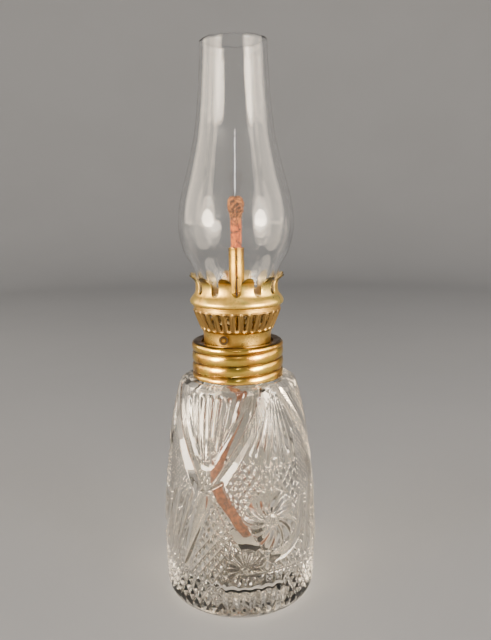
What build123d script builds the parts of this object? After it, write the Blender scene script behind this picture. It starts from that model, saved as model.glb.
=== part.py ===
"""A miniature kerosene lamp: glass font, screw cap, round-wick burner and glass chimney.

Millimetres. The lamp stands on z = 0 with its axis on +Z and its front towards -Y.
The wick raiser's spindle runs front to back, beside the wick tube.
"""

from build123d import *
import os
from math import cos, pi, radians, sin, tan

# ---- driving dimensions: font -------------------------------------------------------------
shoulder_height = 75.3
font_radius = 25.7
foot_radius = 19.5
recess_radius = 14.5
recess_depth = 1.2
cavity_floor = 6.0
cavity_radius = 20.4
neck_radius = 13.5
neck_bore_radius = 10.4
neck_top = 84.4

# ---- driving dimensions: thread of the neck and cap ----------------------------------------
thread_pitch = 3.6
thread_start_angle = 180.0
groove_start_height = 76.8
groove_turns = 2.35
groove_radius = 0.9
groove_depth = 0.55
ridge_height = 0.8
ridge_turns = 1.2

# ---- driving dimensions: cap and burner ----------------------------------------------------
cap_sheet = 0.45
cap_radius = 15.0
cap_bottom = shoulder_height + 0.2
cap_top = 87.3
cap_hole_radius = 11.7
washer_thickness = 1.3
burner_sheet = 0.4
floor_bottom = neck_top + washer_thickness + 0.05
floor_top = floor_bottom + 0.45
floor_radius = 13.4
basket_foot_radius = 11.5
basket_top = 98.8
slot_count = 30
slot_width = 1.1
slot_length = 5.8
slot_middle = 94.0
plate_thickness = 0.4
crown_sheet = 0.45
prong_count = 12
prong_gap = 2.7
prong_gap_bottom = 102.9
prong_tip_start = 107.1
crown_top = 108.6

# ---- driving dimensions: wick and its raiser -----------------------------------------------
tube_radius = 2.5
tube_bore_radius = 2.1
tube_bottom = 82.3
tube_top = 117.3
seam_width = 0.3
wick_radius = 2.0
wick_crown_radius = 2.7
wick_neck_top = 127.5
wick_top = 133.2
spindle_x = -4.2
spindle_z = 89.2
spindle_radius = 0.8
spindle_front = -11.4
spindle_back = 19.5
running_gap = 0.05
eyelet_radius = 1.25
spur_tip_radius = 2.1
spur_root_radius = 1.45
spur_count = 8
spur_width = 1.8
thumbwheel_radius = 5.5
thumbwheel_front = 17.4
thumbwheel_thickness = 1.2
thumbwheel_flutes = 24

# ---- driving dimensions: chimney -----------------------------------------------------------
chimney_wall = 1.2
chimney_foot = basket_top + plate_thickness + crown_sheet + 0.1
chimney_top = 180.5

os.makedirs("parts", exist_ok=True)


def finish(sub_part, name):
    """Labels a finished piece and writes it to its own STEP file."""
    sub_part.part.label = name
    export_step(sub_part.part, f"parts/{name}.step")


def sheet_ring(corners, corner_radii, thickness):
    """A ring of thin sheet: the centre line, given as (radius, height) corners, turned about Z."""
    with BuildPart() as ring:
        with BuildSketch(Plane.XZ):
            with BuildLine():
                FilletPolyline(*corners, radius=corner_radii)
            trace(line_width=thickness)
        revolve(axis=Axis.Z)
    return ring.part


def thread_coil(axis_radius, start_height, turns, section):
    """A right-hand coil about Z with the given sketch as its section, the sketch's x outwards."""
    with BuildPart() as coil:
        with BuildLine() as spiral:
            Helix(thread_pitch, turns * thread_pitch, axis_radius, center=(0, 0, start_height))
        start = spiral.line @ 0
        with BuildSketch(Plane(origin=start, x_dir=(1, 0, 0), z_dir=spiral.line % 0)):
            add(section)
        sweep(path=spiral.line, is_frenet=True)
    return coil.part


# ---- font ----------------------------------------------------------------------------------
# The glass thread is a low trapezoid that stands out of the neck.
ridge_root = -0.1
with BuildSketch() as ridge_section:
    with BuildLine():
        Polyline(
            (ridge_root, -1.05),
            (ridge_height, -0.5),
            (ridge_height, 0.5),
            (ridge_root, 1.05),
            close=True,
        )
    make_face()

neck_thread = thread_coil(
    neck_radius, groove_start_height + thread_pitch / 2, ridge_turns, ridge_section.sketch
)

with BuildPart() as font_glass:
    with BuildSketch(Plane.XZ) as font_section:
        with BuildLine():
            Polyline(
                (0, recess_depth),
                (recess_radius - 1.5, recess_depth),
                (recess_radius, 0),
                (foot_radius, 0),
            )
            ThreePointArc((foot_radius, 0), (23.6, 1.9), (25.3, 6.5))
            Spline(
                (25.3, 6.5),
                (font_radius, 20),
                (25.3, 33),
                (24.2, 46),
                (22.1, 61.5),
                (19.6, 72.8),
                tangents=((0.1, 1), (-0.2, 1)),
            )
            ThreePointArc((19.6, 72.8), (18.7, 74.5), (16.8, shoulder_height))
            Polyline(
                (16.8, shoulder_height),
                (neck_radius, shoulder_height),
                (neck_radius, neck_top - 0.6),
                (neck_radius - 0.6, neck_top),
                (neck_bore_radius + 0.6, neck_top),
                (neck_bore_radius, neck_top - 0.6),
                (neck_bore_radius, 78),
            )
            Spline(
                (neck_bore_radius, 78),
                (13.8, 70),
                (18.0, 58),
                (20.0, 43),
                (cavity_radius, 15),
                tangents=((0, -1), (0, -1)),
            )
            ThreePointArc((cavity_radius, 15), (18.4, 9.2), (13, 7))
            Polyline((13, 7), (0, cavity_floor), (0, recess_depth))
        make_face()
    revolve(axis=Axis.Z)
    add(neck_thread, rotation=(0, 0, thread_start_angle))
finish(font_glass, "font_glass")

with BuildPart() as neck_washer:
    with BuildSketch(Plane.XY.offset(neck_top)):
        Circle(neck_radius - 0.2)
        Circle(neck_bore_radius + 0.2, mode=Mode.SUBTRACT)
    extrude(amount=washer_thickness)
finish(neck_washer, "neck_washer")

# ---- screw cap: rolled from thin sheet, so each outer groove is an inner bead ----------------
roll_centre = cap_radius + groove_radius - groove_depth
bead_radius = groove_radius + cap_sheet

with BuildSketch() as groove_section:
    Circle(groove_radius)

with BuildSketch() as bead_section:
    Circle(bead_radius)
    with Locations((cap_radius - 0.25 - roll_centre - bead_radius, 0)):
        Rectangle(2 * bead_radius, 3 * bead_radius, mode=Mode.INTERSECT)

groove_coil = thread_coil(roll_centre, groove_start_height, groove_turns, groove_section.sketch)
bead_coil = thread_coil(roll_centre, groove_start_height, groove_turns, bead_section.sketch)
cap_shell = sheet_ring(
    (
        (cap_radius - cap_sheet / 2, cap_bottom),
        (cap_radius - cap_sheet / 2, cap_top - cap_sheet / 2),
        (13.0, cap_top - cap_sheet / 2),
        (cap_hole_radius, cap_top - 0.4),
    ),
    (1.1, 0.5),
    cap_sheet,
)

with BuildPart() as screw_cap:
    add(cap_shell)
    add(bead_coil, rotation=(0, 0, thread_start_angle))
    add(groove_coil, rotation=(0, 0, thread_start_angle), mode=Mode.SUBTRACT)
finish(screw_cap, "screw_cap")

# ---- burner floor, its ferrule and its vent --------------------------------------------------
vent_place = (6.0, 2.6)
vent_radius = 1.0

with BuildPart() as burner_floor:
    with BuildSketch(Plane.XY.offset(floor_bottom)):
        Circle(floor_radius)
        Circle(tube_radius + 0.02, mode=Mode.SUBTRACT)
        with Locations(vent_place):
            Circle(vent_radius + 0.02, mode=Mode.SUBTRACT)
    extrude(amount=floor_top - floor_bottom)
finish(burner_floor, "burner_floor")

with BuildPart() as tube_ferrule:
    with BuildSketch(Plane.XY.offset(floor_top)):
        Circle(tube_radius + 0.9)
        Circle(tube_radius + 0.02, mode=Mode.SUBTRACT)
    extrude(amount=0.4)
    fillet(tube_ferrule.faces().sort_by(Axis.Z)[-1].edges().sort_by(SortBy.RADIUS)[-1], 0.25)
finish(tube_ferrule, "tube_ferrule")

with BuildPart() as vent_tube:
    with BuildSketch(Plane.XY.offset(floor_bottom)):
        with Locations(vent_place):
            Circle(vent_radius)
            Circle(vent_radius - 0.3, mode=Mode.SUBTRACT)
    extrude(amount=7.0)
finish(vent_tube, "vent_tube")

# ---- burner basket -----------------------------------------------------------------------------
basket_shell = sheet_ring(
    (
        (basket_foot_radius, floor_top + burner_sheet / 2),
        (10.4, floor_top + burner_sheet / 2),
        (10.5, 88.2),
        (12.9, 94.9),
        (13.75, 97.1),
        (13.75, basket_top - burner_sheet / 2),
        (14.3, basket_top - burner_sheet / 2),
    ),
    (0.4, 3.0, 8.0, 1.0, 0.3),
    burner_sheet,
)

with BuildPart() as air_slot:
    with BuildSketch(Plane.YZ.offset(9)):
        with Locations((0, slot_middle)):
            SlotOverall(slot_length, slot_width, rotation=90)
    extrude(amount=8)

with BuildPart() as burner_basket:
    add(basket_shell)
    with PolarLocations(0, slot_count, start_angle=180 / slot_count):
        add(air_slot.part, mode=Mode.SUBTRACT)
    with Locations(Location((spindle_x, 0, spindle_z), (90, 0, 0))):
        Cylinder(eyelet_radius + 0.02, 60, mode=Mode.SUBTRACT)
finish(burner_basket, "burner_basket")

# ---- air plate and gallery crown -----------------------------------------------------------------
with BuildPart() as air_plate:
    with BuildSketch(Plane.XY.offset(basket_top)):
        Circle(14.2)
        Circle(tube_radius + 0.1, mode=Mode.SUBTRACT)
        with PolarLocations(5.6, 12):
            Circle(0.9, mode=Mode.SUBTRACT)
        with PolarLocations(9.0, 20):
            Circle(0.9, mode=Mode.SUBTRACT)
    extrude(amount=plate_thickness)
finish(air_plate, "air_plate")

ledge_height = basket_top + plate_thickness + crown_sheet / 2
crown_shell = sheet_ring(
    (
        (10.8, ledge_height),
        (14.6, ledge_height),
        (14.9, 100.9),
        (13.1, 103.5),
        (13.15, 106.6),
        (15.3, crown_top),
    ),
    (0.6, 1.0, 1.5, 1.2),
    crown_sheet,
)
half_pitch = 14.2 * tan(pi / prong_count)

with BuildPart() as crown_gap:
    with BuildSketch(Plane.YZ.offset(12)):
        with BuildLine():
            gap = prong_gap / 2
            left_side = Line((-gap, prong_tip_start), (-gap, prong_gap_bottom + gap))
            RadiusArc(left_side @ 1, (gap, prong_gap_bottom + gap), -gap)
            right_side = Line((gap, prong_gap_bottom + gap), (gap, prong_tip_start))
            right_tip = TangentArc(right_side @ 1, (half_pitch, crown_top), tangent=(0, 1))
            left_tip = (-half_pitch, crown_top)
            Polyline(right_tip @ 1, (half_pitch, crown_top + 2), (-half_pitch, crown_top + 2), left_tip)
            TangentArc(left_tip, left_side @ 0, tangent=(0, -1), tangent_from_first=False)
        make_face()
    extrude(amount=4)

with BuildPart() as gallery_crown:
    add(crown_shell)
    with PolarLocations(0, prong_count):
        add(crown_gap.part, mode=Mode.SUBTRACT)
finish(gallery_crown, "gallery_crown")

# ---- wick tube: rolled, with an open seam at the front -----------------------------------------
with BuildPart() as wick_tube:
    with BuildSketch(Plane.XY.offset(tube_bottom)):
        Circle(tube_radius)
        Circle(tube_bore_radius, mode=Mode.SUBTRACT)
    extrude(amount=tube_top - tube_bottom)
    with Locations((0, -tube_radius, (tube_bottom + tube_top) / 2)):
        Box(seam_width, 1.6, tube_top - tube_bottom + 2, mode=Mode.SUBTRACT)
    with Locations((-tube_radius, 0, spindle_z)):
        Box(1.8, spur_width + 0.5, 2 * spur_tip_radius + 0.4, mode=Mode.SUBTRACT)
finish(wick_tube, "wick_tube")

# ---- wick: straight in the tube, wider where it has burnt above it --------------------------------
with BuildPart() as wick:
    with BuildSketch(Plane.XZ):
        with BuildLine():
            Polyline(
                (0, wick_top),
                (0, tube_bottom),
                (wick_radius, tube_bottom),
                (wick_radius, wick_neck_top),
            )
            Spline(
                (wick_radius, wick_neck_top),
                (wick_crown_radius, 130.2),
                (2.1, 132.7),
                (0, wick_top),
                tangents=((0, 1), (-1, 0)),
            )
        make_face()
    revolve(axis=Axis.Z)
finish(wick, "wick")

tail_route = (
    (0, 0, tube_bottom),
    (0, 0, 74.3),
    (1.6, -0.4, 66.8),
    (-4.0, -1.0, 54.5),
    (-9.4, -1.4, 38.5),
    (-4.2, -0.8, 27.0),
    (3.5, 0.2, 18.7),
)


def route_radii(points):
    """The largest arc that the two runs beside each corner leave room for."""
    radii = []
    for before, corner, after in zip(points, points[1:], points[2:]):
        run_in = Vector(*corner) - Vector(*before)
        run_out = Vector(*after) - Vector(*corner)
        shorter = min(run_in.length, run_out.length)
        half_turn = radians(run_in.get_angle(run_out)) / 2
        radii.append(0.45 * shorter / tan(half_turn))
    return radii


tail_radii = route_radii(tail_route)
print("wick tail radii", [round(radius, 1) for radius in tail_radii])

with BuildPart() as wick_tail:
    with BuildLine() as tail_path:
        FilletPolyline(*tail_route, radius=tail_radii)
    with BuildSketch(Plane(origin=tail_path.line @ 0, z_dir=tail_path.line % 0)):
        Circle(wick_radius)
    sweep(path=tail_path.line)
tail_length = tail_path.wires()[0].length
print("wick tail length", round(tail_length, 1))
print("wick tail volume against section times length",
      round(wick_tail.part.volume / (pi * wick_radius**2 * tail_length), 4))
finish(wick_tail, "wick_tail")

# ---- wick raiser --------------------------------------------------------------------------------
spindle_plane = Plane(origin=(spindle_x, 0, spindle_z), x_dir=(1, 0, 0), z_dir=(0, 1, 0))

with BuildPart() as spindle:
    with BuildSketch(spindle_plane.offset(spindle_front)):
        Circle(spindle_radius)
    extrude(amount=spindle_back - spindle_front)
    chamfer(spindle.edges().filter_by(GeomType.CIRCLE), 0.2)
finish(spindle, "spindle")


tooth_angle = 2 * pi / spur_count
spur_corners = []
for tooth in range(spur_count):
    tip_angle = tooth * tooth_angle
    root_angle = tip_angle + tooth_angle / 2
    spur_corners.append((spur_tip_radius * cos(tip_angle), spur_tip_radius * sin(tip_angle)))
    spur_corners.append((spur_root_radius * cos(root_angle), spur_root_radius * sin(root_angle)))

with BuildPart() as spur_wheel:
    with BuildSketch(spindle_plane.offset(-spur_width / 2)):
        with BuildLine():
            Polyline(*spur_corners, close=True)
        make_face()
        Circle(spindle_radius, mode=Mode.SUBTRACT)
    extrude(amount=spur_width)
finish(spur_wheel, "spur_wheel")

ear_gap = spur_width / 2 + 0.3
housing_sheet = 0.35
housing_back = spindle_x - spur_tip_radius - 0.3
housing_front = -2.25

with BuildPart() as spur_housing:
    with BuildSketch(Plane.XY.offset(spindle_z - 2.05)):
        with BuildLine():
            Polyline(
                (housing_front, ear_gap + housing_sheet / 2),
                (housing_back, ear_gap + housing_sheet / 2),
                (housing_back, -ear_gap - housing_sheet / 2),
                (housing_front, -ear_gap - housing_sheet / 2),
            )
        trace(line_width=housing_sheet)
    extrude(amount=4.4)
    with Locations(Location((spindle_x, 0, spindle_z), (90, 0, 0))):
        Cylinder(spindle_radius + running_gap, 10, mode=Mode.SUBTRACT)
finish(spur_housing, "spur_housing")


def spindle_bush(inner_end, outer_end):
    """A short eyelet on the spindle's line, with a rolled rim at its outer end."""
    rim_start = outer_end - 0.45 if outer_end > inner_end else outer_end
    with BuildPart() as bush:
        with BuildSketch(spindle_plane.offset(min(inner_end, outer_end))):
            Circle(eyelet_radius)
        extrude(amount=abs(outer_end - inner_end))
        with BuildSketch(spindle_plane.offset(rim_start)):
            Circle(eyelet_radius + 0.2)
        extrude(amount=0.45)
        with Locations(Location((spindle_x, 0, spindle_z), (90, 0, 0))):
            Cylinder(spindle_radius + running_gap, 60, mode=Mode.SUBTRACT)
    return bush


eyelet_inner_end = 8.9
eyelet_outer_end = 11.75
finish(spindle_bush(-eyelet_inner_end, -eyelet_outer_end), "spindle_eyelet_front")
finish(spindle_bush(eyelet_inner_end, eyelet_outer_end), "spindle_eyelet_back")

with BuildPart() as thumbwheel:
    with BuildSketch(spindle_plane.offset(thumbwheel_front)):
        Circle(thumbwheel_radius)
        with PolarLocations(thumbwheel_radius + 0.25, thumbwheel_flutes):
            Circle(0.5, mode=Mode.SUBTRACT)
    extrude(amount=thumbwheel_thickness)
    with BuildSketch(spindle_plane.offset(thumbwheel_front - 0.6)):
        Circle(1.9)
    extrude(amount=0.6)
    with BuildSketch(spindle_plane.offset(thumbwheel_front + thumbwheel_thickness)):
        Circle(4.2)
        Circle(2.2, mode=Mode.SUBTRACT)
    extrude(amount=-0.4, mode=Mode.SUBTRACT)
    with BuildSketch(spindle_plane.offset(thumbwheel_front - 1)):
        Circle(spindle_radius)
    extrude(amount=thumbwheel_thickness + 2, mode=Mode.SUBTRACT)
finish(thumbwheel, "thumbwheel")

with BuildPart() as knob_washer:
    with BuildSketch(spindle_plane.offset(thumbwheel_front + thumbwheel_thickness)):
        Circle(1.6)
        Circle(spindle_radius, mode=Mode.SUBTRACT)
    extrude(amount=0.35)
finish(knob_washer, "knob_washer")

# ---- chimney ---------------------------------------------------------------------------------------
centre_line = Spline(
    (11.8, chimney_foot),
    (11.9, 105.2),
    (13.5, 111.2),
    (16.4, 116.6),
    (17.9, 124.3),
    (16.9, 132.8),
    (14.0, 143.8),
    (11.8, 153.6),
    (10.5, 165.4),
    (9.9, 175),
    (9.8, chimney_top),
    tangents=((0, 1), (0, 1)),
)


def beside(line, distance):
    """Points that follow a rising line at a distance outwards from it."""
    points = []
    for step in range(13):
        along = line % (step / 12)
        points.append(line @ (step / 12) + distance * Vector(along.Y, -along.X))
    return points


with BuildPart() as chimney:
    with BuildSketch(Plane.XZ):
        with BuildLine():
            outer = Spline(*beside(centre_line, chimney_wall / 2), tangents=((0, 1), (0, 1)))
            inner = Spline(*beside(centre_line, -chimney_wall / 2), tangents=((0, 1), (0, 1)))
            Line(outer @ 0, inner @ 0)
            Line(outer @ 1, inner @ 1)
        make_face()
    revolve(axis=Axis.Z)
    fillet(chimney.edges().filter_by(GeomType.CIRCLE), 0.35)
finish(chimney, "chimney")
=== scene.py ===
"""The looks of a miniature kerosene lamp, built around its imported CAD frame.

Shapes are worked out in millimetres in the row frame and scaled to metres when a mesh is made.
The front of the lamp faces -Y. Angles round the axis are in radians from +X, as in the frame.
"""
import math

import bmesh
import bpy
import numpy as np
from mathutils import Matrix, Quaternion, Vector


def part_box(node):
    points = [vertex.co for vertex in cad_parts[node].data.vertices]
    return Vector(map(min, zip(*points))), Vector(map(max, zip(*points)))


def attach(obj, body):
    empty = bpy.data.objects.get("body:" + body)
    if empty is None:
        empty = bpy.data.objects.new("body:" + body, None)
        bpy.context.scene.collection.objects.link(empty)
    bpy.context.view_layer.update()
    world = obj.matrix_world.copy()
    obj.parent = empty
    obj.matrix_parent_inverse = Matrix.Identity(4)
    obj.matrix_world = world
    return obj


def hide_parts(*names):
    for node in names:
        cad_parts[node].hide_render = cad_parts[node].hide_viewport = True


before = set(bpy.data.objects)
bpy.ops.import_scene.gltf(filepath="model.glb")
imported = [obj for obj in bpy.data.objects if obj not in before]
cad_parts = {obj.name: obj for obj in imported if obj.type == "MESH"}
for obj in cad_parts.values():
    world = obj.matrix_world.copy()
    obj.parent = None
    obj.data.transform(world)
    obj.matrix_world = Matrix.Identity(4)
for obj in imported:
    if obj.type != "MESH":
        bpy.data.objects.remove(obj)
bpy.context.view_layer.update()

MM = 0.001
TURN = 2 * math.pi
FRONT = -math.pi / 2


# ---- frame sizes, in millimetres ----
def node_box(node):
    """A CAD node's lowest and highest corners, in millimetres."""
    low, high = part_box(node)
    return np.array(low) / MM, np.array(high) / MM


cap_low, cap_high = node_box("screw_cap")
basket_low, basket_high = node_box("burner_basket")
tube_low, tube_high = node_box("wick_tube")
chimney_low, chimney_high = node_box("chimney")
spindle_low, spindle_high = node_box("spindle")

NECK_TOP = node_box("font_glass")[1][2]
CAP_BOTTOM = cap_low[2]
CAP_TOP = cap_high[2]
CAP_RADIUS = cap_high[0]
SHOULDER = CAP_BOTTOM - 0.2
THREAD_PITCH = 3.6
SPINDLE_HEIGHT = (spindle_low[2] + spindle_high[2]) / 2
TUBE_MOUTH = tube_high[2]
WICK_TOP = node_box("wick")[1][2]


# ---- small numeric helpers ----
def smoothstep(low, high, x):
    """0 below low, 1 above high, smooth between."""
    t = np.clip((x - low) / (high - low), 0, 1)
    return t * t * (3 - 2 * t)


def window(low, high, soft, x):
    """1 between low and high, falling to 0 over a soft edge outside them."""
    return smoothstep(low - soft, low, x) * (1 - smoothstep(high, high + soft, x))


def spaced_evenly(path, count):
    """Evenly spaced points along a path."""
    along = np.concatenate([[0], np.cumsum(np.linalg.norm(np.diff(path, axis=0), axis=1))])
    wanted = np.linspace(0, along[-1], count)
    return np.stack([np.interp(wanted, along, path[:, k]) for k in range(path.shape[1])], axis=1)


def curve_through(points, count):
    """Evenly spaced points of a smooth curve through a few given ones."""
    pts = np.array(points, float)
    padded = np.vstack([2 * pts[0] - pts[1], pts, 2 * pts[-1] - pts[-2]])
    fine = []
    for i in range(1, len(padded) - 2):
        a, b, c, d = padded[i - 1 : i + 3]
        for t in np.linspace(0, 1, 24, endpoint=False):
            fine.append(0.5 * (2 * b + (c - a) * t + (2 * a - 5 * b + 4 * c - d) * t**2
                               + (3 * b - a - 3 * c + d) * t**3))
    fine.append(pts[-1])
    return spaced_evenly(np.array(fine), count)


def unit(vectors):
    """Rows of vectors, each brought to length 1."""
    return vectors / np.linalg.norm(vectors, axis=1)[:, None]


def arc(centre, radius, start_deg, end_deg, count):
    """Points of a circular arc in the (radius, height) plane."""
    angles = np.radians(np.linspace(start_deg, end_deg, count))
    return np.stack([centre[0] + radius * np.cos(angles), centre[1] + radius * np.sin(angles)], axis=1)


def line(start, end, count):
    """Evenly spaced points of a straight line, the last one left out."""
    steps = np.linspace(0, 1, count, endpoint=False)[:, None]
    return np.array(start, float) + steps * (np.array(end, float) - np.array(start, float))


def ripple(angle, height, seed, size=1.0):
    """Slow, smooth unevenness between -1 and 1 that closes round the axis."""
    rng = np.random.default_rng(seed)
    total = np.zeros(np.broadcast(angle, height).shape)
    for _ in range(6):
        lobes = rng.integers(1, 6)
        rate = rng.uniform(0.05, 0.22) / size
        total = total + np.sin(lobes * angle + rate * height + rng.uniform(0, TURN))
    return total / 6


def mitre(distance, half_width, depth):
    """The depth of a V-shaped cut, a little rounded by the mould, at a distance from its line."""
    part = np.clip(1 - np.abs(distance) / half_width, 0, 1)
    return depth * (0.75 * part + 0.25 * smoothstep(0, 1, part))


def flute(distance, half_width, depth):
    """The depth of a round hollow at a distance from its line."""
    return depth * np.clip(1 - (distance / half_width) ** 2, 0, 1)


def zigzag(x):
    """A softened triangle wave of period 1: 1 at each whole number, 0 half way between."""
    straight = 1 - 2 * np.abs(x - np.round(x))
    return 0.7 * straight + 0.15 * (1 + np.cos(TURN * x))


# ---- mesh helpers ----
def add_object(name, data):
    """An object of the scene, made from a mesh, a camera or a light."""
    obj = bpy.data.objects.new(name, data)
    bpy.context.scene.collection.objects.link(obj)
    return obj


def make_mesh(name, points_mm, faces, body, material):
    """A mesh object in the row frame that rides on a body."""
    mesh = bpy.data.meshes.new(name)
    mesh.from_pydata((np.array(points_mm) * MM).tolist(), [], faces)
    mesh.update()
    obj = add_object(name, mesh)
    tidy = bmesh.new()
    tidy.from_mesh(mesh)
    bmesh.ops.remove_doubles(tidy, verts=tidy.verts, dist=2e-6)
    bmesh.ops.recalc_face_normals(tidy, faces=tidy.faces)
    tidy.to_mesh(mesh)
    tidy.free()
    mesh.shade_smooth()
    mesh.materials.append(material)
    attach(obj, body)
    return obj


def grid_faces(rows, columns, closed_rows=False, closed_columns=True):
    """Quads of a grid of points stored row by row."""
    faces = []
    for r in range(rows if closed_rows else rows - 1):
        above = ((r + 1) % rows) * columns
        for c in range(columns if closed_columns else columns - 1):
            beside = (c + 1) % columns
            faces.append((r * columns + c, r * columns + beside, above + beside, above + c))
    return faces


def faces_from(first, faces):
    """The same faces, for points that are stored from a given number on."""
    return [tuple(first + v for v in face) for face in faces]


def pole_faces(rows, columns):
    """Triangles that close a grid's two ends on two poles, which are stored right after its points."""
    last = (rows - 1) * columns
    poles = rows * columns
    faces = []
    for c in range(columns):
        beside = (c + 1) % columns
        faces.append((poles, beside, c))
        faces.append((poles + 1, last + c, last + beside))
    return faces


def around_axis(radius, angle, height):
    """A point at a distance from the axis, in a direction round it, at a height."""
    return (radius * math.cos(angle), radius * math.sin(angle), height)


def turned(outline, columns, shape=None, closed_rows=False, poles=False):
    """Points and faces of an outline of (radius, height) turned about Z.

    shape(angle, radius, height) may move the points; poles closes both ends on the axis.
    """
    outline = np.array(outline, float)
    angle = np.linspace(0, TURN, columns, endpoint=False)[None, :]
    radius = np.repeat(outline[:, :1], columns, axis=1)
    height = np.repeat(outline[:, 1:2], columns, axis=1)
    angle = np.repeat(angle, len(outline), axis=0)
    if shape:
        radius, height = shape(angle, radius, height)
    points = np.stack([radius * np.cos(angle), radius * np.sin(angle), height], axis=2).reshape(-1, 3)
    faces = grid_faces(len(outline), columns, closed_rows)
    if poles:
        points = np.vstack([points, [0, 0, height[0].mean()], [0, 0, height[-1].mean()]])
        faces += pole_faces(len(outline), columns)
    return points, faces


def add_thickness(obj, thickness_mm, inside_material):
    """Gives a sheet its thickness, inwards from its surface, and a duller inside."""
    obj.data.materials.append(inside_material)
    solid = obj.modifiers.new("thickness", "SOLIDIFY")
    solid.thickness = thickness_mm * MM
    solid.offset = -1.0
    solid.use_even_offset = True
    solid.material_offset = 1


def soften_edges(obj, width_mm, angle_deg=35):
    """Breaks sharp edges so that they catch the light."""
    bevel = obj.modifiers.new("softened_edges", "BEVEL")
    bevel.width = width_mm * MM
    bevel.segments = 2
    bevel.limit_method = "ANGLE"
    bevel.angle_limit = math.radians(angle_deg)
    bevel.harden_normals = False


# ---- materials ----
class Nodes:
    """A short way to build a material's node tree."""

    def __init__(self, name):
        self.material = bpy.data.materials.new(name)
        self.material.use_nodes = True
        self.tree = self.material.node_tree
        self.tree.nodes.clear()
        self.output = self.new("OutputMaterial")
        self.place = self.new("TexCoord").outputs["Object"]

    def new(self, kind, **inputs):
        """A shader node whose inputs are set by name, with _ for a space."""
        node = self.tree.nodes.new("ShaderNode" + kind)
        for name, value in inputs.items():
            node.inputs[name.replace("_", " ")].default_value = value
        return node

    def link(self, source, target):
        self.tree.links.new(source, target)

    def noise(self, scale, detail, roughness=0.55, stretch=None):
        """Noise in the lamp's own frame, drawn out along an axis by a low stretch there."""
        node = self.new("TexNoise", Scale=scale, Detail=detail, Roughness=roughness)
        source = self.place
        if stretch:
            mapping = self.new("Mapping", Scale=stretch)
            self.link(self.place, mapping.inputs["Vector"])
            source = mapping.outputs["Vector"]
        self.link(source, node.inputs["Vector"])
        return node.outputs["Fac"]

    def ramp(self, source, stops):
        """Colours for a value; stops is a list of (position, colour)."""
        node = self.new("ValToRGB")
        elements = node.color_ramp.elements
        while len(elements) < len(stops):
            elements.new(0.5)
        for element, (position, colour) in zip(elements, stops):
            element.position = position
            element.color = (*colour, 1.0)
        self.link(source, node.inputs["Fac"])
        return node.outputs["Color"]

    def span(self, source, from_low, from_high, to_low=0.0, to_high=1.0):
        """A value, brought from one span to another and held within it."""
        node = self.new("MapRange", From_Min=from_low, From_Max=from_high, To_Min=to_low, To_Max=to_high)
        self.link(source, node.inputs["Value"])
        return node.outputs["Result"]

    def mix(self, factor, a, b):
        """Mixes two colours; each is a socket or a colour."""
        node = self.new("Mix")
        node.data_type = "RGBA"
        self.link(factor, node.inputs[0])
        for value, socket in ((a, node.inputs[6]), (b, node.inputs[7])):
            if isinstance(value, tuple):
                socket.default_value = (*value, 1.0)
            else:
                self.link(value, socket)
        return node.outputs[2]

    def math(self, operation, a, b=None):
        node = self.new("Math")
        node.operation = operation
        for value, socket in zip((a, b), node.inputs):
            if value is None:
                continue
            if isinstance(value, (int, float)):
                socket.default_value = value
            else:
                self.link(value, socket)
        return node.outputs[0]

    def darkened(self, colour, dark, where, strength):
        """A colour, mixed with a dark one by up to a strength where a value is high."""
        return self.mix(self.math("MULTIPLY", where, strength), colour, dark)

    def axis_distance(self):
        """How far a point is from the lamp's axis, in metres."""
        split = self.new("SeparateXYZ")
        self.link(self.place, split.inputs[0])
        across = self.math("MULTIPLY", split.outputs[0], split.outputs[0])
        deep = self.math("MULTIPLY", split.outputs[1], split.outputs[1])
        return self.math("SQRT", self.math("ADD", across, deep))

    def height(self):
        """How high a point is, in metres."""
        split = self.new("SeparateXYZ")
        self.link(self.place, split.inputs[0])
        return split.outputs[2]

    def bump(self, source, strength, distance):
        node = self.new("Bump", Strength=strength, Distance=distance)
        self.link(source, node.inputs["Height"])
        return node.outputs["Normal"]

    def surface(self, shader):
        self.link(shader, self.output.inputs["Surface"])


def clear_glass(name, tint, ior, shadow):
    """Solid glass whose shadow stays light, with faint streaks left by pressing or blowing."""
    n = Nodes(name)
    glass = n.new("BsdfPrincipled", Metallic=0.0, IOR=ior, Roughness=0.0, Transmission_Weight=1.0)
    streaks = n.noise(120.0, 2.0, stretch=(1.0, 1.0, 0.35))
    lighter = tuple(min(1.0, c * 1.01) for c in tint)
    n.link(n.ramp(streaks, [(0.35, tint), (0.65, lighter)]), glass.inputs["Base Color"])
    n.link(n.span(n.noise(900.0, 3.0), 0.4, 0.8, 0.0, 0.02), glass.inputs["Roughness"])
    n.link(n.bump(n.noise(260.0, 2.0), 0.06, 0.0004), glass.inputs["Normal"])
    clear = n.new("BsdfTransparent", Color=(*shadow, 1.0))
    path = n.new("LightPath")
    mix = n.new("MixShader")
    n.link(path.outputs["Is Shadow Ray"], mix.inputs["Fac"])
    n.link(glass.outputs["BSDF"], mix.inputs[1])
    n.link(clear.outputs["BSDF"], mix.inputs[2])
    n.surface(mix.outputs["Shader"])
    return n.material


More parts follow.
